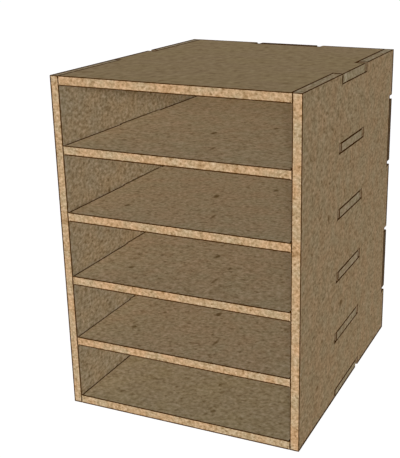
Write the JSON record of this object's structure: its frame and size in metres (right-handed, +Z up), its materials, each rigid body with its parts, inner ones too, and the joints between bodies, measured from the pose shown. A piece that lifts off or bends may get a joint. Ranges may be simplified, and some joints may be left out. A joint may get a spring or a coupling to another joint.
{
  "type": "craft stamp storage cabinet",
  "caption": "Open-front desktop cabinet of slotted fibreboard panels, with a stack of equal compartments for flat sets of craft stamps.",
  "frame": {"origin": "on the surface that the cabinet stands on, under the middle of its width and depth", "axes": "+Z up, the open front faces -Y, +X to the right seen from the front"},
  "size_m": [0.1612, 0.1906, 0.22],
  "materials": {
    "mdf": "raw fibreboard, laser cut"
  },
  "bodies": {
    "root": {"left_side": "mdf", "right_side": "mdf", "bottom_panel": "mdf", "top_panel": "mdf", "back_panel": "mdf", "shelf_1": "mdf", "shelf_2": "mdf", "shelf_3": "mdf", "shelf_4": "mdf"}
  },
  "joints": []
}
